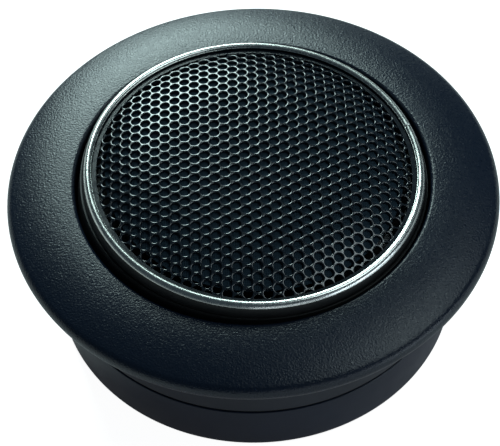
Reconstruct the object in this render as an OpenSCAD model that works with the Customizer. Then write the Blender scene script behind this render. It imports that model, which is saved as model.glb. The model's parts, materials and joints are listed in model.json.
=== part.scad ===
// Swivelling car tweeter in a round flush-mount housing.
// Origin: centre of the flat base. +Z: out of the grille. Millimetres.

/* [Flange and barrel] */
// Outer radius of the flange
flange_r = 32; // [31:0.5:34]
// Height of the widest part of the flange rim above the base
flange_z = 19.6; // [19.4:0.1:20]
// Radius of the rounded flange rim
rim_round_r = 1.4; // [1.2:0.1:1.5]
// Radius of the opening that the pod looks out of
opening_r = 23; // [22.95:0.05:23.6]
// Height of the edge of that opening above the base
opening_z = 22.6; // [22.5:0.1:23]
// Outer radius of the barrel that drops through the panel
barrel_r = 26.6; // [26.4:0.1:27.5]
// Height of the seam between the flange skirt and the rear cup
seam_z = 8; // [7.6:0.1:8.6]

/* [Swivel] */
// Height of the tilt axis above the base
tilt_z = 18; // [17.8:0.1:18.1]
// Radius of the ball-shaped pod
ball_r = 22.9; // [22.7:0.05:22.95]
// Inner radius of the swivel ring that carries the pod
carrier_inner_r = 23.3; // [23.3:0.05:23.4]
// Radius of each tilt pin
tilt_pin_r = 1.2; // [1:0.1:1.3]
// Angle that the pod is left tilted at, towards +X
rest_tilt = 2.5; // [-10:0.5:10]
// Angle from level at which the tilt stops touch, either way
tilt_stop = 15.5; // [12:0.5:15.5]
// Angle that each turn stop takes up
turn_stop_width = 12; // [8:1:20]

/* [Grille] */
// Radius of the centre line of the bright bead
bead_ring_r = 21.5; // [21.3:0.02:21.52]
// Radius of the bead's own section
bead_r = 0.55; // [0.5:0.05:0.55]
// Height of the centre of the bead above the base
bead_z = 24.05; // [23.9:0.05:24.1]
// Height of the middle of the grille above the base
grille_top = 26.6; // [26.2:0.1:27]
// Thickness of the perforated metal
grille_t = 0.45; // [0.4:0.05:0.6]

/* [Drive unit] */
// Radius of the voice coil former
coil_r = 12.7; // [12.6:0.05:12.8]
// Height of the top of the dome above the base
dome_top = 23.6; // [22.5:0.1:24]
// Height of the voice coil winding
winding_h = 2.2; // [1.8:0.1:2.4]
// Thickness of the pole plate
plate_t = 2; // [1.8:0.1:2.2]
// Thickness of the magnet
magnet_t = 3.2; // [2.8:0.1:3.2]

/* [Fixings] */
// Distance between the two base screw holes
base_hole_pitch = 34; // [32:1:36]
// Radius of each base screw hole
base_hole_r = 2.1; // [1.6:0.1:2.4]
// Radius of the cable hole in the grommet
cable_r = 1.7; // [1.2:0.1:2]
// Radius of the thread of the small screws
screw_r = 0.95; // [0.8:0.05:1]

/* [Hidden] */

$fn = 96;
eps = 0.01;
far = 100;

// Barrel and cup
skirt_inner_r = 25.12;
seam_gap = 0.4;
skirt_bottom = seam_z + seam_gap / 2;
cup_top = seam_z - seam_gap / 2;
flange_under = flange_z - rim_round_r + 0.15;
crown_r = 24;
lip_r = 0.5;
shoulder_z = opening_z - 1.3;
floor_t = 1.8;
cup_inner_r = 24.6;
spigot_r = 25.09;
spigot_inner_r = 24;
snap_z = seam_z + 1.9;
snap_h = 0.2;
foot_round = 1.2;
grommet_seat_r = 3.4;

// Swivel ring
carrier_r = 25.05;
carrier_bottom = tilt_z - 4.9;
spigot_top = carrier_bottom - 0.55;
carrier_top = shoulder_z - 0.45;
stop_arm = 3.5;
stop_lug_r = 0.7;
stop_slot_half = 0.8;
turn_lug_drop = 1.8;
washer_r = 2.3;
washer_in = 22.86;
washer_out = 23.4;

// Pod
collar_r = bead_ring_r - 0.02;
collar_inner_r = 20.4;
collar_top = bead_z - 0.45;
shoulder_ball_z = tilt_z + 4.5;
ball_bottom = tilt_z - 2.5;
ball_skin = 1.5;
ledge_z = tilt_z + 0.4;
ledge_t = 1.5;
motor_r = 15.5;
motor_floor = tilt_z - 7.4;
motor_wall = 1.2;
plate_pitch_r = 18.4;
screw_boss_r = 1.7;
screw_boss_bottom = tilt_z - 3;
screw_count = 3;

// Drive unit
plate_seat_z = ledge_z + 0.95;
yoke_r = 15.4;
yoke_inner_r = 13.35;
yoke_floor_t = 2;
yoke_top = tilt_z - 0.1;
magnet_r = 11.3;
pole_r = 12.3;
magnet_z = motor_floor + yoke_floor_t;
pole_z = magnet_z + magnet_t;
dome_edge_z = plate_seat_z - 0.15;
dome_t = 0.25;
former_t = 0.15;
winding_t = 0.3;
winding_z = pole_z + plate_t / 2 - winding_h / 2;

// Crossover
board_z = 2.6;
board_t = 0.8;
board_top = board_z + board_t;
board_r = 23.4;
board_inner_r = 6;
board_screw_ring = 12;
board_screw_count = 3;
part_ring = 20.9;

// Outline helpers: an arc of a circle as points, and where two circles cross.
function arc(centre, r, from, to, steps = 12) =
    [for (i = [0 : steps]) let (a = from + (to - from) * i / steps) centre + r * [cos(a), sin(a)]];
function unit(v) = v / norm(v);
function circles_meet(a, ra, b, rb) =
    let (d = norm(b - a), along = (ra * ra - rb * rb + d * d) / (2 * d), side = sqrt(ra * ra - along * along))
    a + along * unit(b - a) + side * unit([b.y - a.y, a.x - b.x]);
function heading(from, to) = atan2(to.y - from.y, to.x - from.x);
// Centre of a sphere on the axis through an edge ring and a top point, and its radius.
function cap_r(edge_r, rise) = (edge_r * edge_r + rise * rise) / (2 * rise);

module ring(outer, inner, bottom, top) {
    translate([0, 0, bottom])
        linear_extrude(top - bottom)
            difference() {
                circle(outer);
                circle(inner);
            }
}

module disc(r, bottom, top) {
    translate([0, 0, bottom])
        cylinder(r = r, h = top - bottom);
}

module around(count, first = 90) {
    for (i = [0 : count - 1])
        rotate([0, 0, first + i * 360 / count])
            children();
}

module both_sides() {
    for (turn = [0, 180])
        rotate([0, 0, turn])
            children();
}

// Rod along +Y at the tilt height.
module y_rod(r, from, to) {
    translate([0, from, tilt_z])
        rotate([-90, 0, 0])
            cylinder(r = r, h = to - from);
}

// Turns a piece of the pod about the tilt pins to where it is left at rest.
module tilted() {
    translate([0, 0, tilt_z])
        rotate([0, rest_tilt, 0])
            translate([0, 0, -tilt_z])
                children();
}

// ---- Fixed housing ----

rim_centre = [flange_r - rim_round_r, flange_z];
lip_centre = [opening_r + lip_r, opening_z - lip_r];
crown_centre = circles_meet(lip_centre, crown_r - lip_r, rim_centre, crown_r - rim_round_r);
crown_out = heading(crown_centre, rim_centre);
crown_in = heading(crown_centre, lip_centre);

module flange_outline() {
    groove_out = flange_r - 3;
    groove_in = barrel_r + 1.6;
    polygon(concat(
        arc(lip_centre, lip_r, 180, crown_in, 6),
        arc(crown_centre, crown_r, crown_in, crown_out, 16),
        arc(rim_centre, rim_round_r, crown_out, -60, 14),
        [
            [rim_centre.x, flange_under],
            [groove_out, flange_under], [groove_out - 0.4, flange_under + 1.3],
            [groove_in, flange_under + 1.6], [groove_in, flange_under],
            [barrel_r, flange_under], [barrel_r, skirt_bottom],
            [skirt_inner_r, skirt_bottom],
            [skirt_inner_r, snap_z - snap_h - 0.1], [skirt_inner_r + snap_h, snap_z],
            [skirt_inner_r, snap_z + snap_h + 0.1],
            [skirt_inner_r, shoulder_z], [opening_r, shoulder_z]
        ]
    ));
}

module bezel_flange() {
    color("#16181a")
        rotate_extrude()
            flange_outline();
}

module cup_outline() {
    polygon(concat(
        [[0, 0]],
        arc([barrel_r - foot_round, foot_round], foot_round, -90, 0, 6),
        [
            [barrel_r, cup_top], [spigot_r, cup_top],
            [spigot_r, snap_z - snap_h], [spigot_r + snap_h - 0.03, snap_z], [spigot_r, snap_z + snap_h],
            [spigot_r, spigot_top], [spigot_inner_r, spigot_top],
            [spigot_inner_r, cup_top + 0.6], [cup_inner_r, cup_top], [cup_inner_r, floor_t], [0, floor_t]
        ]
    ));
}

// Wedge of the given angular width, its middle on +X.
module wedge(width, reach, bottom, top) {
    translate([0, 0, bottom])
        linear_extrude(top - bottom)
            polygon([
                [0, 0], reach * [cos(width / 2), -sin(width / 2)], reach * [cos(width / 2), sin(width / 2)]
            ]);
}

module ring_sector(outer, inner, width, bottom, top) {
    intersection() {
        ring(outer, inner, bottom, top);
        wedge(width, 2 * outer, bottom, top);
    }
}

module rear_cup() {
    stop_inner = carrier_inner_r + 0.15;
    boss_r = 2.4;
    color("#1b1f26")
        difference() {
            union() {
                rotate_extrude()
                    cup_outline();
                around(board_screw_count)
                    translate([board_screw_ring, 0, floor_t - eps])
                        cylinder(r = boss_r, h = board_z - floor_t + eps);
                rotate([0, 0, -90])
                    ring_sector(
                        spigot_inner_r + eps, stop_inner, turn_stop_width, cup_top + 0.8, spigot_top - 0.2
                    );
            }
            both_sides()
                translate([base_hole_pitch / 2, 0, -eps])
                    cylinder(r = base_hole_r, h = floor_t + 2 * eps);
            around(board_screw_count)
                translate([board_screw_ring, 0, 0.6])
                    cylinder(r = screw_r, h = board_z);
            translate([0, 0, -eps])
                cylinder(r = grommet_seat_r, h = floor_t + 2 * eps);
        }
}

module seam_gasket() {
    color("#050505")
        ring(barrel_r - 0.25, spigot_r + 0.02, cup_top, skirt_bottom);
}

module cable_grommet() {
    lip = 1.1;
    color("#0c0c0c")
        rotate_extrude()
            polygon([
                [cable_r, 0.2], [grommet_seat_r, 0.2], [grommet_seat_r, floor_t],
                [grommet_seat_r + lip, floor_t], [grommet_seat_r + lip, floor_t + 0.5],
                [grommet_seat_r, floor_t + 1.2], [cable_r, floor_t + 1.2]
            ]);
}

module friction_ring() {
    color("#c9c4b4")
        ring(skirt_inner_r - 0.1, opening_r + 0.4, carrier_top + 0.05, shoulder_z);
}

module wave_spring() {
    color("#9aa0a6")
        ring(skirt_inner_r - 0.15, spigot_inner_r + 0.05, spigot_top, carrier_bottom - 0.05);
}

// ---- Crossover ----

module crossover_board() {
    driver_r = 3.6;
    color("#1f5c38")
        difference() {
            ring(board_r, board_inner_r, board_z, board_top);
            both_sides()
                translate([base_hole_pitch / 2, 0, board_z - eps])
                    cylinder(r = driver_r, h = board_t + 2 * eps);
            around(board_screw_count)
                translate([board_screw_ring, 0, board_z - eps])
                    cylinder(r = screw_r + 0.15, h = board_t + 2 * eps);
        }
}

// Pan-head screw standing on z = 0, thread downwards, with a cross slot.
module pan_screw(length, head_r, head_h) {
    slot = 0.45;
    difference() {
        union() {
            translate([0, 0, -length])
                cylinder(r = screw_r, h = length + eps);
            cylinder(r = head_r, h = head_h);
        }
        for (turn = [0, 90])
            rotate([0, 0, turn])
                translate([-head_r * 0.6, -slot / 2, head_h / 2])
                    cube([head_r * 1.2, slot, head_h]);
    }
}

module board_screws() {
    color("#b8bcc0")
        around(board_screw_count)
            translate([board_screw_ring, 0, board_top])
                pan_screw(2.6, 1.8, 0.9);
}

// Body lying along the tangent at the component circle, with its two wire legs.
module axial_part(r, length, leg_r, lift) {
    leg_out = 1.4;
    translate([part_ring, 0, board_top + lift + r]) {
        rotate([90, 0, 0])
            cylinder(r = r, h = length, center = true);
        for (end = [-1, 1]) {
            translate([0, end * (length / 2 + leg_out / 2), 0])
                rotate([90, 0, 0])
                    cylinder(r = leg_r, h = leg_out + leg_r, center = true);
            translate([0, end * (length / 2 + leg_out), -lift - r])
                cylinder(r = leg_r, h = lift + r);
        }
    }
}

module series_capacitor() {
    color("#20314f")
        rotate([0, 0, 90])
            axial_part(2.2, 8.4, 0.3, 0.1);
}

module attenuator_resistor() {
    color("#b7a27a")
        rotate([0, 0, -90])
            axial_part(1.5, 7, 0.3, 0.1);
}

module board_tabs() {
    color("#c9a24b")
        for (turn = [10, 170, 190, 350])
            rotate([0, 0, turn])
                translate([8, -1.2, board_top])
                    cube([3.2, 2.4, 0.6]);
}

// ---- Swivel ring ----

// Arc slot about the tilt axis that the pod's stop lug travels in.
module stop_slot() {
    half = tilt_stop + asin(stop_lug_r / stop_arm);
    reach = 3 * stop_arm;
    slot_in = carrier_inner_r - 0.5;
    slot_out = carrier_r - 0.6;
    intersection() {
        translate([0, slot_in, tilt_z])
            rotate([-90, 0, 0])
                difference() {
                    cylinder(r = stop_arm + stop_slot_half, h = slot_out - slot_in);
                    translate([0, 0, -eps])
                        cylinder(r = stop_arm - stop_slot_half, h = slot_out - slot_in + 2 * eps);
                }
        translate([0, slot_in - eps, tilt_z])
            rotate([-90, 0, 0])
                linear_extrude(slot_out - slot_in + 2 * eps)
                    polygon([[0, 0], reach * [-sin(half), cos(half)], reach * [sin(half), cos(half)]]);
    }
}

module swivel_ring() {
    color("#26282b")
        difference() {
            union() {
                ring(carrier_r, carrier_inner_r, carrier_bottom, carrier_top);
                rotate([0, 0, 90])
                    ring_sector(
                        spigot_inner_r - 0.15, carrier_inner_r, turn_stop_width,
                        carrier_bottom - turn_lug_drop, carrier_bottom + eps
                    );
            }
            both_sides() {
                y_rod(tilt_pin_r + 0.06, opening_r - 1, carrier_r + 1);
                y_rod(washer_r + 0.15, opening_r - 1, washer_out);
                stop_slot();
            }
        }
}

// ---- Pod ----

module pod_outline() {
    top_angle = asin((shoulder_ball_z - tilt_z) / ball_r);
    low_angle = asin((ball_bottom - tilt_z) / ball_r);
    wall_r = motor_r + motor_wall;
    floor_z = motor_floor - motor_wall;
    polygon(concat(
        arc([0, tilt_z], ball_r, top_angle, low_angle, 16),
        [
            [ball_r - ball_skin, ball_bottom], [ball_r - ball_skin, ledge_z - ledge_t],
            [wall_r, ledge_z - ledge_t], [wall_r, motor_floor], [motor_r, floor_z], [0, floor_z],
            [0, motor_floor], [motor_r, motor_floor], [motor_r, ledge_z],
            [collar_inner_r, ledge_z], [collar_inner_r, collar_top], [collar_r, collar_top],
            [collar_r, shoulder_ball_z]
        ]
    ));
}

// Peg that runs in the swivel ring's slot, on a tab below the ball's skin.
module stop_lug() {
    tab = [3.2, 0.9, ball_bottom - tilt_z + stop_arm + 1.1];
    translate([0, 0, -stop_arm])
        y_rod(stop_lug_r, ball_r - ball_skin, carrier_inner_r + 0.9);
    translate([-tab.x / 2, ball_r - ball_skin, ball_bottom - tab.z + eps])
        cube(tab);
}

module pod_housing() {
    flat = 3.4;
    color("#0f1012")
        tilted()
            difference() {
                union() {
                    rotate_extrude()
                        pod_outline();
                    around(screw_count)
                        disc_at(plate_pitch_r, screw_boss_r, screw_boss_bottom, ledge_z - ledge_t + eps);
                    both_sides()
                        stop_lug();
                }
                around(screw_count)
                    disc_at(plate_pitch_r, screw_r, screw_boss_bottom + 0.5, ledge_z + eps);
                both_sides() {
                    y_rod(tilt_pin_r, collar_inner_r + 0.3, ball_r + 1);
                    translate([-flat, washer_in - 0.01, tilt_z - washer_r - 0.1])
                        cube([2 * flat, 1, 2 * washer_r + 0.2]);
                }
                for (side = [-1, 1])
                    translate([side * rivet_x, 0, motor_floor - motor_wall - eps])
                        cylinder(r = rivet_r, h = motor_wall - 0.2);
            }
}

// Cylinder standing off the axis along +X.
module disc_at(distance, r, bottom, top) {
    translate([distance, 0, bottom])
        cylinder(r = r, h = top - bottom);
}

module tilt_pins() {
    color("#b4b8bc")
        tilted()
            both_sides()
                y_rod(tilt_pin_r, collar_inner_r + 0.3, carrier_r - 0.3);
}

module tilt_washers() {
    color("#d8d4c8")
        tilted()
            both_sides()
                difference() {
                    y_rod(washer_r, washer_in, washer_out - 0.06);
                    y_rod(tilt_pin_r, washer_in - 1, washer_out + 1);
                }
}

module trim_ring_outline() {
    wall_out = bead_ring_r + bead_r;
    under = bead_z - 0.04;
    difference() {
        union() {
            translate([bead_ring_r, bead_z])
                circle(bead_r, $fn = 48);
            translate([collar_r + 0.02, shoulder_ball_z])
                square([wall_out - collar_r - 0.02, bead_z - shoulder_ball_z]);
        }
        translate([bead_ring_r - 2 * bead_r, under - 2 * bead_r])
            square([collar_r + 0.02 - bead_ring_r + 2 * bead_r, 2 * bead_r]);
    }
}

module trim_ring() {
    color("#d5d7d9")
        tilted()
            rotate_extrude()
                trim_ring_outline();
}

grille_edge_r = bead_ring_r - bead_r;
grille_edge_z = collar_top + grille_t;
grille_sphere_r = cap_r(grille_edge_r, grille_top - grille_edge_z);

// Dished shell of a given thickness, its outer face this far below the grille's own face.
module cap_outline(below, thick, edge_r) {
    intersection() {
        translate([0, grille_top - grille_sphere_r])
            difference() {
                circle(grille_sphere_r - below, $fn = 360);
                circle(grille_sphere_r - below - thick, $fn = 360);
            }
        translate([0, collar_top - 0.6])
            square([edge_r, far]);
    }
}

module grille_mesh() {
    color("#0a0a0b")
        tilted()
            rotate_extrude()
                union() {
                    cap_outline(0, grille_t, grille_edge_r);
                    translate([grille_edge_r - 0.25, collar_top])
                        square([collar_r - grille_edge_r + 0.25, grille_t - 0.05]);
                }
}

module grille_cloth() {
    color("#060606")
        tilted()
            rotate_extrude()
                cap_outline(grille_t + 0.05, 0.2, collar_inner_r - 0.6);
}

module front_plate() {
    mouth_r = 19.9;
    outer_r = collar_inner_r - 0.1;
    throat_r = 15.7;
    color("#141517")
        tilted()
            difference() {
                rotate_extrude()
                    polygon([
                        [throat_r, plate_seat_z], [outer_r, plate_seat_z], [outer_r, plate_seat_z + 2.9],
                        [mouth_r, plate_seat_z + 2.9], [throat_r, plate_seat_z + 0.9]
                    ]);
                around(screw_count) {
                    disc_at(plate_pitch_r, screw_r + 0.15, plate_seat_z - 1, plate_seat_z + 3);
                    disc_at(plate_pitch_r, 1.7, plate_seat_z + 1.1, plate_seat_z + 4);
                }
            }
}

module front_plate_screws() {
    color("#8f9499")
        tilted()
            around(screw_count)
                translate([plate_pitch_r, 0, plate_seat_z + 1.1])
                    pan_screw(plate_seat_z + 1.1 - screw_boss_bottom - 0.6, 1.6, 0.9);
}

module diaphragm_ring() {
    color("#3a3d40")
        tilted()
            difference() {
                ring(collar_inner_r - 0.15, 15.3, ledge_z, plate_seat_z - 0.25);
                around(screw_count)
                    disc_at(plate_pitch_r, screw_r + 0.15, ledge_z - 1, plate_seat_z + 1);
            }
}

// Half-roll of treated cloth between the dome and its mounting ring.
module surround() {
    roll_r = 1.2;
    roll_t = 0.2;
    middle = 14.15;
    rim = 16.6;
    base = plate_seat_z - 0.25;
    color("#1c1a1a")
        tilted()
            rotate_extrude()
                union() {
                    intersection() {
                        translate([middle, base])
                            difference() {
                                circle(roll_r, $fn = 48);
                                circle(roll_r - roll_t, $fn = 48);
                            }
                        translate([middle - 2 * roll_r, base])
                            square(4 * roll_r);
                    }
                    translate([middle + roll_r - roll_t, base])
                        square([rim - middle - roll_r + roll_t, 0.22]);
                }
}

module yoke_cup() {
    color("#7f858b")
        tilted()
            rotate_extrude()
                polygon([
                    [0, motor_floor], [yoke_r - 0.6, motor_floor], [yoke_r, motor_floor + 0.6],
                    [yoke_r, yoke_top], [yoke_inner_r, yoke_top], [yoke_inner_r, magnet_z], [0, magnet_z]
                ]);
}

module magnet() {
    color("#c3c7ca")
        tilted()
            disc(magnet_r, magnet_z, pole_z);
}

module pole_plate() {
    color("#8a9096")
        tilted()
            disc(pole_r, pole_z, pole_z + plate_t);
}

module damping_felt() {
    color("#5a554c")
        tilted()
            disc(9.5, pole_z + plate_t, pole_z + plate_t + 1.2);
}

rivet_x = 4.6;
rivet_r = 0.8;
terminal_z = motor_floor - motor_wall;

module terminal_board() {
    size = [18, 6.4, 0.8];
    color("#6b4a2a")
        tilted()
            difference() {
                translate([-size.x / 2, -size.y / 2, terminal_z - size.z])
                    cube(size);
                for (side = [-1, 1])
                    translate([side * rivet_x, 0, terminal_z - 2])
                        cylinder(r = rivet_r, h = 4);
            }
}

module terminal_lugs() {
    lug = [5.6, 2.8, 0.4];
    color("#c9a24b")
        tilted()
            for (turn = [0, 180])
                rotate([0, 0, turn])
                    difference() {
                        translate([rivet_x - 1.6, -lug.y / 2, terminal_z - 0.8 - lug.z])
                            cube(lug);
                        translate([rivet_x, 0, terminal_z - 2])
                            cylinder(r = rivet_r, h = 4);
                    }
}

module terminal_rivets() {
    head_h = 0.35;
    color("#d2b869")
        tilted()
            for (side = [-1, 1])
                translate([side * rivet_x, 0, 0]) {
                    disc(rivet_r, terminal_z - 1.2, terminal_z + motor_wall - 0.2 - eps);
                    disc(rivet_r + 0.5, terminal_z - 1.2 - head_h, terminal_z - 1.2);
                }
}

// ---- Moving diaphragm ----

module dome() {
    dome_r = cap_r(coil_r, dome_top - dome_edge_z);
    color("#1e1c1c")
        tilted()
            rotate_extrude()
                intersection() {
                    translate([0, dome_top - dome_r])
                        difference() {
                            circle(dome_r, $fn = 180);
                            circle(dome_r - dome_t, $fn = 180);
                        }
                    translate([0, dome_edge_z])
                        square(far);
                }
}

module coil_former() {
    color("#b9853a")
        tilted()
            ring(coil_r, coil_r - former_t, winding_z, dome_edge_z);
}

module voice_coil() {
    color("#b5652a")
        tilted()
            ring(coil_r + winding_t, coil_r, winding_z, winding_z + winding_h);
}

bezel_flange();
rear_cup();
seam_gasket();
cable_grommet();
friction_ring();
wave_spring();
crossover_board();
board_screws();
series_capacitor();
attenuator_resistor();
board_tabs();
swivel_ring();
pod_housing();
tilt_pins();
tilt_washers();
trim_ring();
grille_mesh();
grille_cloth();
front_plate();
front_plate_screws();
diaphragm_ring();
surround();
yoke_cup();
magnet();
pole_plate();
damping_felt();
terminal_board();
terminal_lugs();
terminal_rivets();
dome();
coil_former();
voice_coil();
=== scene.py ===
"""Looks of a swivelling car tweeter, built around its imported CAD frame.

Outlines are lists of (radius, height) points in millimetres, in the frame of the CAD model.
"""

import json
import math

import bmesh
import bpy
import numpy as np
from mathutils import Matrix, Quaternion, Vector


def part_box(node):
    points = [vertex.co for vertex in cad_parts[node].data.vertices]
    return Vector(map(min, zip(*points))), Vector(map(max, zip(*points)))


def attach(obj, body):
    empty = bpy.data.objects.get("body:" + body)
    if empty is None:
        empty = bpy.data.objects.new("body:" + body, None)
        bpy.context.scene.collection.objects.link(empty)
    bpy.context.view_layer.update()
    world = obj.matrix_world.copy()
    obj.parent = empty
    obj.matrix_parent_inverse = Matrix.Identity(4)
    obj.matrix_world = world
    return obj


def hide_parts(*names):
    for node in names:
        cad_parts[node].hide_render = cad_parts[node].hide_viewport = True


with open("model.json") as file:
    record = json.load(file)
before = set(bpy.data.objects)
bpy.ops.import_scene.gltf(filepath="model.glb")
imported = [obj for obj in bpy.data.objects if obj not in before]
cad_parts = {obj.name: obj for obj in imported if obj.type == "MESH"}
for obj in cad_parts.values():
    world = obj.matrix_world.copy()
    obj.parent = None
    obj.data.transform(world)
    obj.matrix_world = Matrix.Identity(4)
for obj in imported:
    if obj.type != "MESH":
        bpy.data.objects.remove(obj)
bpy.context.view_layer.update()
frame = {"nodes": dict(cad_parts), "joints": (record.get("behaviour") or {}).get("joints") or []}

MM = 0.001
TAU = 2 * math.pi
COLUMNS = 288
CREASE_DEG = 38
HOLE_CUTTER_SIDES = 72


# ---- Dimensions, in millimetres ----

def box_mm(node):
    low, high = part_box(node)
    return low / MM, high / MM


def joint(name):
    return next(j for j in frame["joints"] if j["name"] == name)


flange_low, flange_high = box_mm("bezel_flange")
FLANGE_R = flange_high.x
OPENING_Z = flange_high.z
SKIRT_BOTTOM = flange_low.z
OPENING_R = 23.0
OPENING_LIP_R = 0.5
OPENING_LIP_STEPS = 12
CROWN_R = 24.0
RIM_R = 1.4
RIM_Z = 19.6
RIM_LAST_DEG = -60
FLANGE_UNDER = RIM_Z - RIM_R + 0.15
GROOVE_IN = 3.0
GROOVE_SLOPE = 0.4
GROOVE_H = (1.3, 1.6)
GROOVE_GAP = 1.6
SHOULDER_Z = OPENING_Z - 1.3
SKIRT_INNER_R = 25.12
SNAP_Z = 9.9
SNAP_H = 0.2
SNAP_LEAD = 0.1
EDGE_SOFT = 0.2

cup_low, cup_high = box_mm("rear_cup")
CUP_R = cup_high.x
CUP_TOP = box_mm("seam_gasket")[0].z
SPIGOT_TOP = cup_high.z
SPIGOT_R = 25.09
SPIGOT_INNER_R = 24.0
SPIGOT_LEAD = 0.6
CUP_INNER_R = 24.6
FLOOR_T = 1.8
FOOT_ROUND = 1.2
SCREW_HOLE_X = 17.0
SCREW_HOLE_R = 2.1
GROMMET_R = 3.4
CABLE_R = 1.7
GROMMET_BOTTOM = 0.2
GROMMET_LIP = 1.1
GROMMET_LIP_T = 1.2

TILT_Z = joint("pod_tilt")["pos_m"][2] / MM
TRAVEL = joint("diaphragm_travel")["axis"]
REST_TILT = math.atan2(TRAVEL[0], TRAVEL[2])

RING_OUT = box_mm("trim_ring")[1].y
RING_BOTTOM = 22.5
RING_TOP = 24.6
RING_FLARE = 0.2
RING_WIDTH = 1.1
RING_LIP_R = 0.08
RING_LIP_DROP = 0.35
RING_CREST_R = RING_OUT - 0.62
RING_CREST_H = 0.22
RING_FOOT = 0.15
# Below this height the ring's side takes black plastic: painted shade standing in for the dark
# reflection of the plated side.
PLATED_FROM_Z = 24.06
NICK_DEG = 19.5
NICK_HALF_DEG = 0.35
NICK_DEPTH = 0.14
BEAD_CENTRE = (RING_CREST_R + 0.25, RING_TOP - 0.5)
COLLAR_R = RING_OUT - 0.57
COLLAR_TOP = 23.6
HAIR = 0.02

HOLE_PITCH = 1.48
HOLE_R = 0.6
HOLE_ROUND = 0.12
HOLE_SIDES = 18
SHEET_T = 0.4
GRILLE_APEX = 26.49
# From the apex outward: the radius of each bend and the slope in degrees where it ends.
GRILLE_BENDS = ((200.0, 3.15), (28.0, 22.5), (1.3, 90.0))
CLAMP_TOP = COLLAR_TOP + SHEET_T - 0.05
CLOTH_GAP = 0.08
CLOTH_T = 0.18
CLOTH_REACH = 19.6


# ---- Outline helpers ----

def arc(centre, radius, start, end, steps):
    """Points of a circular arc between two angles in degrees."""
    angles = np.radians(np.linspace(start, end, steps + 1))
    return [(centre[0] + radius * math.cos(a), centre[1] + radius * math.sin(a)) for a in angles]


def circles_meet(a, radius_a, b, radius_b):
    """One crossing of two circles, to the right of the way from a to b."""
    dx, dy = b[0] - a[0], b[1] - a[1]
    gap = math.hypot(dx, dy)
    along = (radius_a**2 - radius_b**2 + gap**2) / (2 * gap)
    side = math.sqrt(radius_a**2 - along**2)
    return (a[0] + (along * dx + side * dy) / gap, a[1] + (along * dy - side * dx) / gap)


def heading(start, end):
    """Direction of a point from another, in degrees."""
    return math.degrees(math.atan2(end[1] - start[1], end[0] - start[0]))


# ---- Mesh helpers ----

def finish_mesh(name, mesh, looks, crease=CREASE_DEG):
    """Object of a mesh with its materials, smooth but for edges sharper than crease degrees."""
    for look in looks:
        mesh.materials.append(look)
    mesh.shade_smooth()
    mesh.set_sharp_from_angle(angle=math.radians(crease))
    piece = bpy.data.objects.new(name, mesh)
    bpy.context.scene.collection.objects.link(piece)
    return piece


def tidy_mesh(name, vertices, faces, look_of_face=None):
    """Mesh in metres from points in millimetres, with doubled points merged and normals outward."""
    mesh = bpy.data.meshes.new(name)
    mesh.from_pydata((np.asarray(vertices) * MM).tolist(), [], faces)
    if look_of_face is not None:
        mesh.polygons.foreach_set("material_index", look_of_face)
    work = bmesh.new()
    work.from_mesh(mesh)
    bmesh.ops.remove_doubles(work, verts=work.verts, dist=1e-7)
    bmesh.ops.dissolve_degenerate(work, edges=work.edges, dist=1e-7)
    bmesh.ops.recalc_face_normals(work, faces=work.faces)
    work.to_mesh(mesh)
    work.free()
    return mesh


def lathe_mesh(name, outline, columns=None, look_of=None):
    """Mesh of a closed outline turned about Z. The outline may be a function of the angle."""
    if columns is None:
        columns = np.arange(COLUMNS) * TAU / COLUMNS
    shape = outline if callable(outline) else (lambda angle: outline)
    rings = [np.asarray(shape(a)) for a in columns]
    vertices = np.concatenate([
        np.stack([r[:, 0] * math.cos(a), r[:, 0] * math.sin(a), r[:, 1]], axis=1)
        for a, r in zip(columns, rings)
    ])
    count, turns = len(rings[0]), len(columns)
    faces, look_of_face = [], []
    for i in range(turns):
        here, there = i * count, (i + 1) % turns * count
        for j in range(count):
            k = (j + 1) % count
            faces.append((here + j, there + j, there + k, here + k))
            look_of_face.append(look_of[j] if look_of else 0)
    return tidy_mesh(name, vertices, faces, look_of_face)


def lathe(name, outline, looks, columns=None, look_of=None):
    return finish_mesh(name, lathe_mesh(name, outline, columns, look_of), looks)


def rod_cutter(radius, start, end):
    """Hidden cylinder between two points in millimetres, to cut a hole with."""
    start, end = Vector(start), Vector(end)
    mesh = bpy.data.meshes.new("cutter")
    work = bmesh.new()
    length = (end - start).length
    bmesh.ops.create_cone(
        work, cap_ends=True, segments=HOLE_CUTTER_SIDES,
        radius1=radius * MM, radius2=radius * MM, depth=length * MM,
    )
    work.to_mesh(mesh)
    work.free()
    turn = (end - start).to_track_quat("Z", "Y").to_matrix().to_4x4()
    mesh.transform(Matrix.Translation((start + end) / 2 * MM) @ turn)
    cutter = bpy.data.objects.new("cutter", mesh)
    bpy.context.scene.collection.objects.link(cutter)
    return cutter


def cut(piece, cutters):
    """Takes the cutters out of a piece and removes them."""
    for cutter in cutters:
        modifier = piece.modifiers.new("cut", "BOOLEAN")
        modifier.solver = "EXACT"
        modifier.object = cutter
    shown = bpy.context.evaluated_depsgraph_get()
    mesh = bpy.data.meshes.new_from_object(piece.evaluated_get(shown))
    piece.modifiers.clear()
    piece.data = mesh
    mesh.shade_smooth()
    mesh.set_sharp_from_angle(angle=math.radians(CREASE_DEG))
    for cutter in cutters:
        bpy.data.objects.remove(cutter)


def tilt(piece):
    """Turns a piece modelled level about the tilt pins to where the pod is left at rest."""
    pivot = Matrix.Translation((0, 0, TILT_Z * MM))
    piece.data.transform(pivot @ Matrix.Rotation(REST_TILT, 4, "Y") @ pivot.inverted())
    return piece


def place(piece, node, body):
    """The piece stands for a CAD node, whose part it hides, and rides on its body."""
    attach(piece, body)
    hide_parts(node)
    return piece


# ---- Material helpers ----

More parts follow.
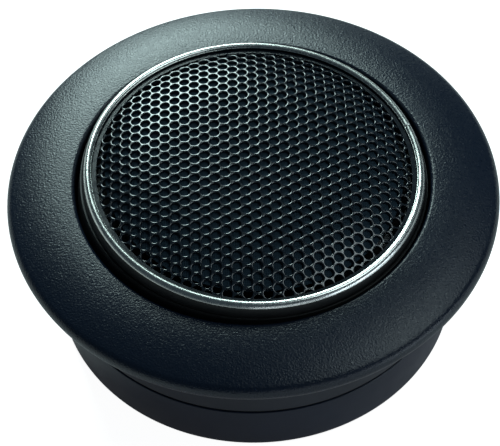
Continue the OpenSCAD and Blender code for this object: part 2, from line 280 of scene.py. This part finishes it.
class Look:
    """A Principled material with short calls for the pattern nodes that vary it."""

    def __init__(self, name, colour, roughness, metallic=0.0, ior=1.5):
        self.material = bpy.data.materials.new(name)
        self.material.use_nodes = True
        self.nodes = self.material.node_tree.nodes
        self.links = self.material.node_tree.links
        self.shader = self.nodes["Principled BSDF"]
        self.colour = colour
        self.shader.inputs["Base Color"].default_value = (*colour, 1)
        self.shader.inputs["Roughness"].default_value = roughness
        self.shader.inputs["Metallic"].default_value = metallic
        self.shader.inputs["IOR"].default_value = ior
        self.place = self.nodes.new("ShaderNodeTexCoord").outputs["Object"]
        self.normal = None

    def stretched(self, factors):
        """Object coordinates scaled along each axis, to draw a pattern out."""
        mapping = self.nodes.new("ShaderNodeMapping")
        mapping.inputs["Scale"].default_value = factors
        self.links.new(self.place, mapping.inputs["Vector"])
        return mapping.outputs["Vector"]

    def noise(self, size, detail=3.0, where=None):
        """Cloudy pattern whose blobs are about size millimetres across."""
        node = self.nodes.new("ShaderNodeTexNoise")
        node.inputs["Scale"].default_value = 1 / (size * MM)
        node.inputs["Detail"].default_value = detail
        self.links.new(where or self.place, node.inputs["Vector"])
        return node.outputs["Fac"]

    def bands(self, size, direction):
        """Stripes about size millimetres apart across a direction, X, Y or Z."""
        bands_per_unit_scale = 3.2
        node = self.nodes.new("ShaderNodeTexWave")
        node.bands_direction = direction
        node.inputs["Scale"].default_value = 1 / (size * MM) / bands_per_unit_scale
        node.inputs["Distortion"].default_value = 0.0
        self.links.new(self.place, node.inputs["Vector"])
        return node.outputs["Fac"]

    def ranged(self, value, low, high, to_low, to_high):
        """The value, with low to high mapped onto to_low to to_high and held beyond them."""
        node = self.nodes.new("ShaderNodeMapRange")
        ends = {"From Min": low, "From Max": high, "To Min": to_low, "To Max": to_high}
        for socket, number in ends.items():
            node.inputs[socket].default_value = number
        self.links.new(value, node.inputs["Value"])
        return node.outputs["Result"]

    def sum(self, a, b, share):
        """a plus share times b."""
        node = self.nodes.new("ShaderNodeMath")
        node.operation = "MULTIPLY_ADD"
        self.links.new(b, node.inputs[0])
        node.inputs[1].default_value = share
        self.links.new(a, node.inputs[2])
        return node.outputs["Value"]

    def tint(self, value, other, low=0.3, high=0.7):
        """Colour goes from the base to the other as the pattern goes from low to high."""
        mix = self.nodes.new("ShaderNodeMix")
        mix.data_type = "RGBA"
        self.links.new(self.ranged(value, low, high, 0, 1), mix.inputs["Factor"])
        base = self.shader.inputs["Base Color"]
        if base.is_linked:
            self.links.new(base.links[0].from_socket, mix.inputs["A"])
        else:
            mix.inputs["A"].default_value = (*self.colour, 1)
        mix.inputs["B"].default_value = (*other, 1)
        self.links.new(mix.outputs["Result"], base)

    def wear(self, value, smooth, rough, low=0.3, high=0.7):
        """Roughness goes from smooth to rough as the pattern goes from low to high."""
        self.links.new(self.ranged(value, low, high, smooth, rough), self.shader.inputs["Roughness"])

    def bump(self, value, depth):
        """Raises the surface by depth millimetres as the pattern goes from 0 to 1."""
        node = self.nodes.new("ShaderNodeBump")
        node.inputs["Distance"].default_value = depth * MM
        self.links.new(value, node.inputs["Height"])
        if self.normal is not None:
            self.links.new(self.normal, node.inputs["Normal"])
        self.normal = node.outputs["Normal"]
        self.links.new(self.normal, self.shader.inputs["Normal"])


# ---- Materials ----

def grained_plastic():
    """Satin blue-black moulding with a fine pebble grain."""
    look = Look("grained_plastic", (0.004, 0.0095, 0.023), 0.29)
    look.bump(look.noise(0.25, 2), 0.062)
    look.bump(look.noise(0.11, 2), 0.012)
    look.tint(look.noise(6), (0.005, 0.011, 0.026))
    look.wear(look.noise(0.4), 0.26, 0.33)
    return look.material


def smooth_plastic(name, colour, smooth, rough):
    """Lightly textured moulding, with faint flow marks."""
    look = Look(name, colour, smooth)
    look.bump(look.noise(0.25, 3), 0.004)
    look.tint(look.noise(9), tuple(c * 1.3 for c in colour))
    look.wear(look.noise(2.5, 5), smooth, rough)
    return look.material


def plated_ring():
    """Bright satin plating with faint dull patches."""
    look = Look("plated_ring", (0.92, 0.92, 0.88), 0.25, metallic=1.0)
    look.bump(look.noise(0.6, 2), 0.001)
    look.tint(look.noise(1.5, 4), (0.74, 0.75, 0.72))
    look.wear(look.noise(0.6, 4), 0.23, 0.31)
    return look.material


def coated_metal():
    """Glossy black coating over punched sheet."""
    look = Look("coated_metal", (0.004, 0.008, 0.014), 0.17, ior=1.85)
    look.bump(look.noise(0.5, 2), 0.0015)
    look.tint(look.noise(3), (0.006, 0.010, 0.016))
    look.wear(look.noise(0.8, 3), 0.15, 0.2)
    return look.material


def woven_cloth():
    """Blue-black acoustic weave."""
    look = Look("woven_cloth", (0.018, 0.042, 0.066), 0.95)
    look.bump(look.sum(look.bands(0.22, "X"), look.bands(0.22, "Y"), 1.0), 0.05)
    look.tint(look.noise(0.5), (0.024, 0.052, 0.078))
    return look.material


def rubber():
    """Soft matt black rubber."""
    look = Look("rubber", (0.006, 0.006, 0.006), 0.7)
    look.bump(look.noise(0.3, 4), 0.01)
    look.tint(look.noise(2), (0.012, 0.012, 0.012))
    look.wear(look.noise(1), 0.6, 0.8)
    return look.material


def bare_metal(name, colour, smooth, rough):
    """Machined or stamped metal with brushed lines round its axis."""
    look = Look(name, colour, smooth, metallic=1.0)
    look.bump(look.noise(0.2, 3, look.stretched((1, 1, 6))), 0.004)
    look.tint(look.noise(2.5, 5), tuple(c * 0.75 for c in colour))
    look.wear(look.noise(0.7, 4), smooth, rough)
    return look.material


def wound_wire():
    """Lacquered copper wire, wound in close turns."""
    look = Look("copper_wire", (0.72, 0.3, 0.14), 0.28, metallic=1.0)
    look.bump(look.bands(0.12, "Z"), 0.03)
    look.tint(look.noise(1.5, 3), (0.6, 0.22, 0.1))
    look.wear(look.noise(0.4), 0.25, 0.38)
    return look.material


def fibrous(name, colour, other, size, depth, roughness):
    """Felt, fibre board or treated cloth."""
    look = Look(name, colour, roughness)
    look.bump(look.noise(size, 6), depth)
    look.tint(look.noise(size * 2, 5), other)
    look.wear(look.noise(size), roughness * 0.85, roughness)
    return look.material


# ---- Housing ----

def flange_outline():
    """Crowned flange, its rounded rim, the groove under it, the barrel and the stepped inside.

    With it comes the material of each side: 0 for the grained top, 1 for the smooth rest.
    """
    rim = (FLANGE_R - RIM_R, RIM_Z)
    lip = (OPENING_R + OPENING_LIP_R, OPENING_Z - OPENING_LIP_R)
    crown = circles_meet(lip, CROWN_R - OPENING_LIP_R, rim, CROWN_R - RIM_R)
    crown_in, crown_out = heading(crown, lip), heading(crown, rim)
    top = arc(lip, OPENING_LIP_R, 180, crown_in, OPENING_LIP_STEPS)
    top += arc(crown, CROWN_R, crown_in, crown_out, 30)[1:]
    top += arc(rim, RIM_R, crown_out, RIM_LAST_DEG, 28)[1:]
    rest = groove_and_skirt(rim[0])
    smooth_lip = OPENING_LIP_STEPS // 2
    return top + rest, [1] * smooth_lip + [0] * (len(top) - smooth_lip) + [1] * len(rest)


def groove_and_skirt(rim_r):
    """Points from under the rim, down the barrel's outside and up its inside to the opening."""
    groove_out, groove_in, soft = FLANGE_R - GROOVE_IN, CUP_R + GROOVE_GAP, EDGE_SOFT
    snap_from = SNAP_H + SNAP_LEAD
    points = [
        (rim_r, FLANGE_UNDER), (groove_out, FLANGE_UNDER),
        (groove_out - GROOVE_SLOPE, FLANGE_UNDER + GROOVE_H[0]),
        (groove_in, FLANGE_UNDER + GROOVE_H[1]), (groove_in, FLANGE_UNDER),
        (CUP_R + soft, FLANGE_UNDER),
    ]
    points += arc((CUP_R + soft, FLANGE_UNDER - soft), soft, 90, 180, 4)[1:]
    points += arc((CUP_R - soft, SKIRT_BOTTOM + soft), soft, 0, -90, 5)
    return points + [
        (SKIRT_INNER_R, SKIRT_BOTTOM), (SKIRT_INNER_R, SNAP_Z - snap_from),
        (SKIRT_INNER_R + SNAP_H, SNAP_Z), (SKIRT_INNER_R, SNAP_Z + snap_from),
        (SKIRT_INNER_R, SHOULDER_Z), (OPENING_R, SHOULDER_Z),
    ]


def make_flange(looks):
    outline, look_of = flange_outline()
    piece = lathe("bezel_flange_shell", outline, looks, look_of=look_of)
    return place(piece, "bezel_flange", "housing")


def cup_outline():
    """Rounded foot, straight wall, the spigot with its snap bead, and the inside."""
    soft, snap_slack = EDGE_SOFT, 0.03
    foot = [(0, 0)] + arc((CUP_R - FOOT_ROUND, FOOT_ROUND), FOOT_ROUND, -90, 0, 14)
    wall = arc((CUP_R - soft, CUP_TOP - soft), soft, 0, 90, 5)
    return foot + wall + [
        (SPIGOT_R, CUP_TOP), (SPIGOT_R, SNAP_Z - SNAP_H),
        (SPIGOT_R + SNAP_H - snap_slack, SNAP_Z), (SPIGOT_R, SNAP_Z + SNAP_H),
        (SPIGOT_R, SPIGOT_TOP), (SPIGOT_INNER_R, SPIGOT_TOP),
        (SPIGOT_INNER_R, CUP_TOP + SPIGOT_LEAD), (CUP_INNER_R, CUP_TOP),
        (CUP_INNER_R, FLOOR_T), (0, FLOOR_T),
    ]


def make_cup(look):
    piece = lathe("rear_cup_shell", cup_outline(), [look])
    beyond = 1
    cut(piece, [
        rod_cutter(radius, (x, 0, -beyond), (x, 0, FLOOR_T + beyond))
        for x, radius in ((0, GROMMET_R), (-SCREW_HOLE_X, SCREW_HOLE_R), (SCREW_HOLE_X, SCREW_HOLE_R))
    ])
    return place(piece, "rear_cup", "housing")


def make_grommet(look):
    """Rubber sleeve through the base, with a lip inside the cup."""
    mouth, soft, lip_r = 0.35, 0.25, GROMMET_R + GROMMET_LIP
    outline = arc((CABLE_R + mouth, GROMMET_BOTTOM + mouth), mouth, 180, 270, 6)
    outline += [(GROMMET_R, GROMMET_BOTTOM), (GROMMET_R, FLOOR_T), (lip_r, FLOOR_T)]
    outline += arc((lip_r - soft, FLOOR_T + soft), soft, 0, 90, 5)
    outline += arc((CABLE_R + mouth, FLOOR_T + GROMMET_LIP_T - mouth), mouth, 90, 180, 6)
    piece = lathe("cable_grommet_soft", outline, [look])
    return place(piece, "cable_grommet", "housing")


# ---- Pod ----

def ellipse_arc(centre, across, up, start, end, steps):
    """Points of an upright ellipse between two parameter angles in degrees."""
    angles = np.radians(np.linspace(start, end, steps + 1))
    return [(centre[0] + across * math.cos(a), centre[1] + up * math.sin(a)) for a in angles]


def ring_outline():
    """Rolled band: a fine inner lip, a crest close to it and a side that falls away in one curve."""
    bevel, tuck = 0.12, 0.3
    lip = (RING_OUT - RING_WIDTH + RING_LIP_R, RING_TOP - RING_LIP_DROP)
    crest = (RING_CREST_R, RING_TOP - RING_CREST_H)
    side = (RING_CREST_R, RING_BOTTOM + RING_FOOT)
    foot_r = RING_OUT + RING_FLARE
    outline = arc(lip, RING_LIP_R, 250, 75, 10)
    outline += ellipse_arc(crest, RING_CREST_R - lip[0] - HAIR, RING_CREST_H, 170, 90, 12)
    outline += ellipse_arc(side, foot_r - RING_CREST_R, RING_TOP - side[1], 90, 0, 36)[1:]
    return outline + [
        (foot_r - bevel, RING_BOTTOM), (COLLAR_R + HAIR, RING_BOTTOM),
        (COLLAR_R + HAIR, COLLAR_TOP + tuck),
    ]


def plated_above(outline):
    """0, plated, for the sides of an outline above a height and 1, black, for those below; the black
    is painted shade in place of the plated side's dark reflection.
    """
    following = outline[1:] + outline[:1]
    return [
        int(a[1] + b[1] < 2 * PLATED_FROM_Z and max(a[0], b[0]) > COLLAR_R)
        for a, b in zip(outline, following)
    ]


def make_trim_ring(looks):
    """The ring is rolled from strip, so it has a butt joint, seen as a small nick."""
    outline, middle = ring_outline(), np.array(BEAD_CENTRE)
    nick_at, nick_half = math.radians(NICK_DEG), math.radians(NICK_HALF_DEG)
    near_nick = {nick_at + share * nick_half for share in (-1, -1 / 3, 1 / 3, 1)}
    columns = sorted(set(np.arange(COLUMNS) * TAU / COLUMNS) | near_nick)

    def shape(angle):
        points = np.array(outline)
        if abs(angle - nick_at) < nick_half * 0.9:
            inward = middle - points
            reach = np.linalg.norm(inward, axis=1, keepdims=True)
            points = points + inward / reach * np.minimum(NICK_DEPTH, reach * 0.5)
        return points

    # The black second look on the ring's lower side is painted shade, not a separate black part.
    piece = tilt(lathe("trim_ring_bead", shape, looks, columns, plated_above(outline)))
    return place(piece, "trim_ring", "pod")


class Meridian:
    """Half section of the grille: arcs that bend ever tighter, from the apex down to the collar."""

    def __init__(self):
        self.arcs, self.length = [], 0.0
        start, centre = 0.0, (0.0, GRILLE_APEX - GRILLE_BENDS[0][0])
        for radius, end_degrees in GRILLE_BENDS:
            lowest = (COLLAR_TOP + HAIR - centre[1]) / radius
            end = min(math.radians(end_degrees), math.acos(min(1.0, max(-1.0, lowest))))
            self.arcs.append((self.length, start, radius, centre))
            self.length += radius * (end - start)
            step = radius - next((r for r, _ in GRILLE_BENDS if r < radius), radius)
            centre = (centre[0] + step * math.sin(end), centre[1] + step * math.cos(end))
            start = end
        self.edge_r = float(self.at(np.array([self.length]))[0][0])

    def at(self, along):
        """Radius, height and slope angle of the outer face at distances along the section."""
        reach = height = slope = np.zeros_like(along)
        for begin, first_slope, radius, centre in self.arcs:
            here = along >= begin
            angle = first_slope + (along - begin) / radius
            slope = np.where(here, angle, slope)
            reach = np.where(here, centre[0] + radius * np.sin(angle), reach)
            height = np.where(here, centre[1] + radius * np.cos(angle), height)
        return reach, height, slope

    def wrap(self, flat, depth):
        """Points of the flat sheet, and their depths below its face, laid on the dished form."""
        along = np.linalg.norm(flat, axis=1)
        away = flat / np.maximum(along, 1e-9)[:, None]
        radius, height, slope = self.at(along)
        radius = radius - depth * np.sin(slope)
        return np.column_stack([away * radius[:, None], height - depth * np.cos(slope)])


def hole_rings():
    """One punched cell from its face to its back, as rings of (radius or "edge", depth)."""
    rings = [("edge", 0.0)]
    for bend in (90, 60, 30, 0):
        a = math.radians(bend)
        rings.append((HOLE_R + HOLE_ROUND * (1 - math.cos(a)), HOLE_ROUND * (1 - math.sin(a))))
    return rings + [(HOLE_R, SHEET_T), ("edge", SHEET_T)]


def hole_centres(form):
    """Centres of the staggered rows of holes that reach onto the flat sheet."""
    row = HOLE_PITCH * math.sqrt(3) / 2
    reach = int(form.length / row) + 2
    for i in range(-reach, reach + 1):
        for j in range(-2 * reach, 2 * reach + 1):
            centre = np.array([i * row, (j + i / 2) * HOLE_PITCH])
            if np.linalg.norm(centre) <= form.length + HOLE_R:
                yield centre


def band(low, high):
    """Faces between two rings of HOLE_SIDES vertices that start at low and high."""
    following = [(k + 1) % HOLE_SIDES for k in range(HOLE_SIDES)]
    return [(low + k, low + n, high + n, high + k) for k, n in enumerate(following)]


def punched_sheet(form):
    """Vertices and faces of the punched sheet: a hexagon of metal round each hole."""
    turn = np.arange(HOLE_SIDES) * TAU / HOLE_SIDES
    towards = np.column_stack([np.cos(turn), np.sin(turn)])
    cell_edge = HOLE_PITCH / 2 / np.cos(turn % (TAU / 6) - TAU / 12)
    rings = hole_rings()
    vertices, faces = [], []
    for cell, centre in enumerate(hole_centres(form)):
        start = cell * len(rings) * HOLE_SIDES
        for radius, depth in rings:
            r = cell_edge if radius == "edge" else np.full(HOLE_SIDES, radius)
            flat = centre + towards * r[:, None]
            far = np.linalg.norm(flat, axis=1)
            flat = flat * np.minimum(1, form.length / far)[:, None]
            vertices.append(form.wrap(flat, np.full(HOLE_SIDES, depth)))
        starts = [start + ring * HOLE_SIDES for ring in range(len(rings))]
        for low, high in zip(starts, starts[1:]):
            faces += band(low, high)
        on_rim = far >= form.length
        closing = band(start, starts[-1])
        faces += [face for k, face in enumerate(closing) if on_rim[k] and on_rim[(k + 1) % HOLE_SIDES]]
    return np.concatenate(vertices), faces


def make_grille(look):
    """The punched sheet, and the plain edge of it that the ring clamps on the collar."""
    form = Meridian()
    vertices, faces = punched_sheet(form)
    mesh = tidy_mesh("grille_sheet", vertices, faces)
    piece = tilt(finish_mesh("grille_sheet", mesh, [look], crease=60))
    place(piece, "grille_mesh", "pod")
    inner = form.edge_r - SHEET_T
    clamp = lathe("grille_clamped_edge", [
        (inner, COLLAR_TOP), (COLLAR_R, COLLAR_TOP), (COLLAR_R, CLAMP_TOP), (inner, CLAMP_TOP),
    ], [look])
    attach(tilt(clamp), "pod")


def make_cloth(look):
    """Cloth bonded to the back of the sheet, following its dish."""
    reach, height, slope = Meridian().at(np.linspace(0, CLOTH_REACH, 40))
    front, back = (
        list(zip(reach - depth * np.sin(slope), height - depth * np.cos(slope)))
        for depth in (SHEET_T + CLOTH_GAP, SHEET_T + CLOTH_GAP + CLOTH_T)
    )
    piece = tilt(lathe("grille_cloth_disc", front + back[::-1], [look]))
    return place(piece, "grille_cloth", "pod")


# ---- Stage, lights and camera ----

VIEW_CENTRE = Vector((0, 0, 20)) * MM
FLOOR_R_M = 3.0
FLOOR_DROP = 0.05
LIGHT_DISTANCE_M = 0.8
CAMERA_DISTANCE_M = 0.300
CAMERA_ELEVATION_DEG = 51.44
CAMERA_ROLL_DEG = 1.93
CAMERA_AIM_M = (-0.00052, -0.004275)  # right of and above the view centre


def white_floor():
    """Pale table top, bright to the camera and dim where the object reflects it."""
    seen_glow, lit_glow = 0.95, 0.1
    mesh = bpy.data.meshes.new("floor")
    work = bmesh.new()
    bmesh.ops.create_circle(work, cap_ends=True, segments=96, radius=FLOOR_R_M)
    work.to_mesh(mesh)
    work.free()
    look = Look("floor", (0.85, 0.85, 0.85), 0.8)
    look.tint(look.noise(40), (0.83, 0.83, 0.83))
    look.shader.inputs["Emission Color"].default_value = (1, 1, 1, 1)
    path = look.nodes.new("ShaderNodeLightPath")
    glow = look.ranged(path.outputs["Is Camera Ray"], 0, 1, lit_glow, seen_glow)
    look.links.new(glow, look.shader.inputs["Emission Strength"])
    mesh.materials.append(look.material)
    floor = bpy.data.objects.new("floor", mesh)
    floor.location.z = -FLOOR_DROP * MM
    bpy.context.scene.collection.objects.link(floor)


def softbox(name, azimuth, elevation, size, radiance, colour):
    """Rectangular light that faces the object.

    Its azimuth is 0 along +X and 90 along +Y, in degrees, and its size is in metres.
    """
    light = bpy.data.lights.new(name, "AREA")
    light.shape = "RECTANGLE"
    light.size, light.size_y = size
    light.color = colour
    light.energy = radiance * math.pi * size[0] * size[1]
    lamp = bpy.data.objects.new(name, light)
    a, e = math.radians(azimuth), math.radians(elevation)
    towards = Vector((math.cos(a) * math.cos(e), math.sin(a) * math.cos(e), math.sin(e)))
    lamp.location = VIEW_CENTRE + towards * LIGHT_DISTANCE_M
    lamp.rotation_mode = "QUATERNION"
    lamp.rotation_quaternion = towards.to_track_quat("Z", "Y")
    lamp.visible_camera = False
    bpy.context.scene.collection.objects.link(lamp)


def room():
    """Dim bluish surroundings that look white where the camera sees past the floor."""
    world = bpy.data.worlds.new("room")
    world.use_nodes = True
    nodes, links = world.node_tree.nodes, world.node_tree.links
    dim = nodes["Background"]
    dim.inputs["Color"].default_value = (0.55, 0.8, 1.0, 1)
    dim.inputs["Strength"].default_value = 0.05
    pale = nodes.new("ShaderNodeBackground")
    pale.inputs["Color"].default_value = (1, 1, 1, 1)
    path = nodes.new("ShaderNodeLightPath")
    mix = nodes.new("ShaderNodeMixShader")
    links.new(path.outputs["Is Camera Ray"], mix.inputs["Fac"])
    links.new(dim.outputs["Background"], mix.inputs[1])
    links.new(pale.outputs["Background"], mix.inputs[2])
    links.new(mix.outputs["Shader"], nodes["World Output"].inputs["Surface"])
    bpy.context.scene.world = world


def set_camera():
    """Long lens from the near side, looking down at the grille, the camera held a little askew."""
    elevation, roll = math.radians(CAMERA_ELEVATION_DEG), math.radians(CAMERA_ROLL_DEG)
    back = Vector((0, -math.cos(elevation), math.sin(elevation)))
    up = Vector((0, math.sin(elevation), math.cos(elevation)))
    data = bpy.data.cameras.new("camera")
    data.lens, data.sensor_width = 166.1, 36.0
    data.clip_start, data.clip_end = 0.01, 20
    camera = bpy.data.objects.new("camera", data)
    camera.location = VIEW_CENTRE + back * CAMERA_DISTANCE_M
    aim = VIEW_CENTRE + Vector((CAMERA_AIM_M[0], 0, 0)) + up * CAMERA_AIM_M[1]
    camera.rotation_mode = "QUATERNION"
    level = (aim - camera.location).to_track_quat("-Z", "Y")
    camera.rotation_quaternion = level @ Quaternion((0, 0, 1), -roll)
    bpy.context.scene.collection.objects.link(camera)
    bpy.context.scene.camera = camera


# ---- Build ----

grained = grained_plastic()
flange_smooth = smooth_plastic("flange_smooth_plastic", (0.004, 0.009, 0.021), 0.33, 0.42)
cup_plastic = smooth_plastic("cup_plastic", (0.005, 0.010, 0.027), 0.3, 0.4)
pod_plastic = smooth_plastic("pod_plastic", (0.009, 0.0095, 0.010), 0.42, 0.52)
black_rubber = rubber()
grille_coat = coated_metal()
cloth = woven_cloth()

make_flange([grained, flange_smooth])
make_cup(cup_plastic)
make_grommet(black_rubber)
make_trim_ring([plated_ring(), pod_plastic])
make_grille(grille_coat)
make_cloth(cloth)

CAD_LOOKS = {
    "seam_gasket": black_rubber,
    "pod_housing": pod_plastic,
    "swivel_ring": smooth_plastic("carrier_plastic", (0.018, 0.019, 0.021), 0.4, 0.55),
    "front_plate": smooth_plastic("plate_plastic", (0.01, 0.01, 0.011), 0.45, 0.6),
    "friction_ring": smooth_plastic("nylon", (0.62, 0.58, 0.48), 0.4, 0.5),
    "tilt_washers": smooth_plastic("washer_nylon", (0.7, 0.68, 0.62), 0.4, 0.5),
    "wave_spring": bare_metal("spring_steel", (0.45, 0.47, 0.5), 0.25, 0.4),
    "board_screws": bare_metal("screw_steel", (0.6, 0.6, 0.58), 0.25, 0.4),
    "front_plate_screws": bare_metal("screw_zinc", (0.5, 0.52, 0.54), 0.3, 0.45),
    "tilt_pins": bare_metal("pin_steel", (0.62, 0.63, 0.64), 0.15, 0.3),
    "yoke_cup": bare_metal("motor_steel", (0.3, 0.31, 0.32), 0.35, 0.5),
    "pole_plate": bare_metal("pole_steel", (0.4, 0.4, 0.41), 0.3, 0.45),
    "magnet": bare_metal("magnet_nickel", (0.66, 0.63, 0.58), 0.12, 0.25),
    "board_tabs": bare_metal("brass_tabs", (0.75, 0.55, 0.25), 0.2, 0.35),
    "terminal_lugs": bare_metal("brass_lugs", (0.75, 0.55, 0.25), 0.2, 0.35),
    "terminal_rivets": bare_metal("brass_rivets", (0.8, 0.62, 0.3), 0.18, 0.3),
    "voice_coil": wound_wire(),
    "crossover_board": smooth_plastic("board_laminate", (0.02, 0.13, 0.05), 0.3, 0.45),
    "series_capacitor": smooth_plastic("capacitor_sleeve", (0.015, 0.035, 0.1), 0.25, 0.35),
    "attenuator_resistor": smooth_plastic("resistor_body", (0.5, 0.38, 0.22), 0.45, 0.6),
    "coil_former": smooth_plastic("former_film", (0.5, 0.25, 0.05), 0.2, 0.3),
    "terminal_board": fibrous("fibre_board", (0.16, 0.08, 0.035), (0.2, 0.11, 0.05), 0.4, 0.02, 0.7),
    "diaphragm_ring": fibrous("ring_fibre", (0.05, 0.05, 0.052), (0.07, 0.07, 0.072), 0.4, 0.02, 0.75),
    "damping_felt": fibrous("felt", (0.1, 0.09, 0.075), (0.16, 0.15, 0.13), 0.35, 0.12, 1.0),
    "surround": fibrous("treated_cloth", (0.012, 0.01, 0.01), (0.02, 0.018, 0.018), 0.25, 0.02, 0.6),
    "dome": fibrous("dome_silk", (0.014, 0.012, 0.012), (0.022, 0.02, 0.02), 0.2, 0.02, 0.5),
}


def finish_cad_node(node, look):
    """Gives a CAD node that stays its material, through its object's own slots."""
    cad = frame["nodes"][node]
    if not cad.material_slots:
        cad.data.materials.append(look)
    for material_slot in cad.material_slots:
        material_slot.link = "OBJECT"
        material_slot.material = look


for cad_name, cad_look in CAD_LOOKS.items():
    finish_cad_node(cad_name, cad_look)

white_floor()
room()
softbox("back_softbox", 101, 30, (0.30, 0.46), 11.2, (0.76, 1.0, 0.98))
softbox("top_softbox", 0, 60, (0.50, 0.28), 2.6, (0.80, 0.97, 1.0))
softbox("side_card", -28, 4, (0.60, 0.12), 3.8, (0.76, 0.90, 1.0))
softbox("front_card", -74, 6, (0.46, 0.09), 1.4, (0.82, 0.93, 1.0))
set_camera()
bpy.context.scene.view_settings.view_transform = "Standard"
